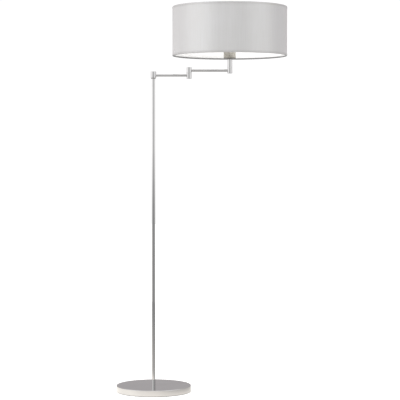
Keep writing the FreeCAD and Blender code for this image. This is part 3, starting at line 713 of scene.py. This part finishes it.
def trim_path(edge, inward):
    """The tape's middle line: over the shade's edge, round the wire ring and tucked in behind it."""
    wire = (RING_HIGH.z - RING_LOW.z) / 2
    lining = SHADE_RADIUS - COVER_WALL - LINER_WALL
    ring_radius = lining - wire
    outside = SHADE_RADIUS + TRIM_WALL / 2 + TRIM_GAP
    path = [(outside - inset, edge + inward * depth) for inset, depth in TRIM_FOLD]
    centre = edge + inward * wire
    reach = wire + TRIM_WALL / 2 + LAYER_GAP
    for point in range(WRAP_POINTS):
        angle = WRAP_START + WRAP_STEP * point
        side = ring_radius + reach * math.cos(angle)
        path.append((side, centre - inward * reach * math.sin(angle)))
    tucked = inward * (wire + TRIM_WALL)
    path.append((ring_radius - TUCK_INSET, centre + tucked * TUCK_HEIGHTS[0]))
    path.append((lining - TRIM_WALL, centre + tucked * TUCK_HEIGHTS[1]))
    return path


def over_the_lap(angle, radius):
    """How far the tape's outside rises where it crosses the cover's lap, and eases down past it."""
    past = (angle - SEAM_ANGLE + math.pi) % (2 * math.pi) - math.pi
    laps = past * SHADE_RADIUS / LAP
    outside = ease((radius - SHADE_RADIUS + LIFT_DEPTH) / LIFT_SOFT)
    return LAP_RISE * outside * ease(laps / LAP_EASE + 1) * ease(2 - laps)


def follow(angle, radius, height):
    """How a trim moves with the cover under it, with small puckers of its own."""
    pucker = PUCKER_DEPTH * unevenness(angle, PUCKER_FINENESS, height)
    return hand(angle, height) + pucker + over_the_lap(angle, radius)


def add_trims(materials):
    for name, (edge, inward) in TRIMS.items():
        path = trim_path(edge, inward)
        trim = lathe(name, offset_path(path, TRIM_WALL), TRIM_STEPS, follow,
                     materials[name], "head", "shade_fabric")
        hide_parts("shade_trims")


# ---- Lampholder and bulb ----

THREAD_STEPS = 72

CAP_PITCH = 3.63 * MM
CAP_THREAD_DEPTH = 0.9 * MM
CAP_THREAD_START = 6 * MM
CAP_STEP = 0.45 * MM
CAP_MOUTH_DEPTH = 2 * MM
CAP_WALL = 0.6 * MM
# The cap below its thread: radius and height of its contact button, insulator and skirt.
CAP_FOOT = [
    (3.5 * MM, 0.0), (4.6 * MM, 0.6 * MM), (5.0 * MM, 1.6 * MM), (8.5 * MM, 2.4 * MM),
    (11.2 * MM, 4.4 * MM),
]
# A lathed solid starts this far from its axis.
CENTRE = 0.05 * MM

BORE = 15 * MM
SHOULDER = 2.5 * MM
SHOULDER_SOFT = 0.5 * MM
EDGE_SOFT = 0.4 * MM
MOUTH_SOFT = 0.6 * MM
SHELL_TOP_SOFT = 0.8 * MM
SHELL_PITCH = 2.5 * MM
SHELL_THREAD_DEPTH = 0.35 * MM
SHELL_THREAD_START = 1 * MM
SHELL_STEP = 0.4 * MM

GRIPS = 40
GRIP_DEPTH = 0.5 * MM
GRIP_SHARPNESS = 1.5
RING_SOFT = 0.7 * MM
RING_STEPS = 400
THREAD_GAP = 0.1 * MM


def add_bulb_cap(materials):
    """The screw cap: its contact button, the insulator's cone and the rolled thread."""
    widest = (CAP_HIGH.x - CAP_LOW.x) / 2
    low, high = CAP_LOW.z, CAP_HIGH.z
    bottom, top = low + CAP_THREAD_START, high - CAP_MOUTH_DEPTH
    outline = [(CENTRE, low)] + [(radius, low + height) for radius, height in CAP_FOOT]
    outline += climb(widest, bottom, high, CAP_STEP)
    outline += [(widest - CAP_WALL, high), (widest - CAP_WALL, top), (CENTRE, top)]

    def thread(angle, radius, height):
        if radius < widest - SAME or not bottom <= height <= top:
            return 0.0
        fade = ease((height - bottom) / CAP_PITCH) * ease((top - height) / CAP_PITCH)
        return -CAP_THREAD_DEPTH * groove(angle, height, CAP_PITCH) * fade

    cap = lathe("bulb_screw_cap", outline, THREAD_STEPS, thread,
                materials["bulb_cap_metal"], "head", "bulb_cap_metal")
    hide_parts("bulb_cap")


def add_holder_shell(materials):
    """The lampholder's shell: threaded outside for the clamp ring, with a shoulder below it."""
    body = SHELL_HIGH.x - HEAD_X
    wall = body - SHOULDER
    low, high = SHELL_LOW.z, SHELL_HIGH.z
    shoulder_low, shoulder_top = HUB_BOTTOM - SHOULDER, HUB_BOTTOM
    outline = [(BORE, low), (wall - EDGE_SOFT, low), (wall, low + EDGE_SOFT)]
    outline += [(wall, shoulder_low), (body - SHOULDER_SOFT, shoulder_low)]
    outline += [(body, shoulder_low + SHOULDER_SOFT), (body, shoulder_top - EDGE_SOFT)]
    outline += [(body - EDGE_SOFT, shoulder_top)]
    outline += climb(wall, shoulder_top, high - SHELL_TOP_SOFT, SHELL_STEP)
    outline += [(wall - SHELL_TOP_SOFT, high), (BORE + MOUTH_SOFT, high), (BORE, high - MOUTH_SOFT)]

    def thread(angle, radius, height):
        if abs(radius - wall) > SAME or height < shoulder_top + SHELL_THREAD_START:
            return 0.0
        return -SHELL_THREAD_DEPTH * groove(angle, height, SHELL_PITCH)

    shell = lathe("lampholder_body", outline, THREAD_STEPS, thread,
                  materials["white_plastic"], "head", "white_plastic")
    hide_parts("lampholder_shell")


def add_clamp_ring(materials):
    """The ring that holds the shade's hub down, with grip grooves round its edge."""
    outer = CLAMP_HIGH.x - HEAD_X
    inner = SHELL_HIGH.x - HEAD_X - SHOULDER + THREAD_GAP
    low, high = CLAMP_LOW.z, CLAMP_HIGH.z
    outline = [(inner, low), (outer - RING_SOFT, low), (outer, low + RING_SOFT)]
    outline += [(outer, (low + high) / 2), (outer, high - RING_SOFT), (outer - RING_SOFT, high)]
    outline += [(inner + RING_SOFT, high), (inner, high - RING_SOFT)]

    def grips(angle, radius, height):
        if radius < outer - SAME:
            return 0.0
        return -GRIP_DEPTH * ease((math.cos(angle * GRIPS) - 1) * GRIP_SHARPNESS + 1)

    ring = lathe("shade_clamp_grip_ring", outline, RING_STEPS, grips,
                 materials["white_plastic"], "head", "white_plastic")
    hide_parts("shade_clamp_ring")


# ---- Base ----

PAD_STEPS = 240
PAD_RINGS = 12
CUT_FINENESS = 9
CUT_LEVEL = 3
CUT_DEPTH = 0.15 * MM
CUT_REACH = 3 * MM
# The pad's swollen edge: how far inside its radius, and how far above its underside.
PAD_EDGE_LOW = [(2.2 * MM, 0.0), (1.0 * MM, 0.25 * MM), (0.35 * MM, 0.8 * MM)]
PAD_EDGE_MIDDLE = 0.15 * MM
# The same edge further up: how far inside its radius, and how far below its top.
PAD_EDGE_HIGH = [(0.35 * MM, 0.8 * MM), (0.8 * MM, 0.1 * MM), (1.6 * MM, 0.0)]


def add_pad(materials):
    """The foam pad: cut a little unevenly, its edge swollen by the weight above it."""
    edge = (PAD_HIGH.x - PAD_LOW.x) / 2
    low, high = PAD_LOW.z, PAD_HIGH.z
    outline = [(CENTRE, low)] + [(edge * ring / PAD_RINGS, low) for ring in range(1, PAD_RINGS)]
    outline += [(edge - inset, low + rise) for inset, rise in PAD_EDGE_LOW]
    outline += [(edge - PAD_EDGE_MIDDLE, (low + high) / 2)]
    outline += [(edge - inset, high - drop) for inset, drop in PAD_EDGE_HIGH]
    outline += [(CENTRE, high)]

    def cut(angle, radius, height):
        if radius < edge - CUT_REACH:
            return 0.0
        return CUT_DEPTH * unevenness(angle, CUT_FINENESS, CUT_LEVEL)

    pad = lathe("base_foam_pad", outline, PAD_STEPS, cut, materials["pad_foam"], "stand",
                "pad_foam", axis=(PAD_LOW.x + PAD_HIGH.x) / 2)
    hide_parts("base_pad")


# ---- Build ----


def paint_nodes(materials):
    slots = {part["node"]: part["material_slot"] for part in frame["record"]["subparts"]}
    for name, node in frame["nodes"].items():
        node.data.materials.clear()
        node.data.materials.append(materials[slots[name]])


def add_studio():
    bpy.context.scene.view_settings.view_transform = "Standard"
    add_camera()
    Room().finish()
    add_floor()
    add_pool_of_light()
    add_overhead_light()


def main():
    add_studio()
    materials = make_materials()
    paint_nodes(materials)
    add_cover(materials)
    add_lining(materials)
    add_trims(materials)
    add_bulb_cap(materials)
    add_holder_shell(materials)
    add_clamp_ring(materials)
    add_pad(materials)


main()
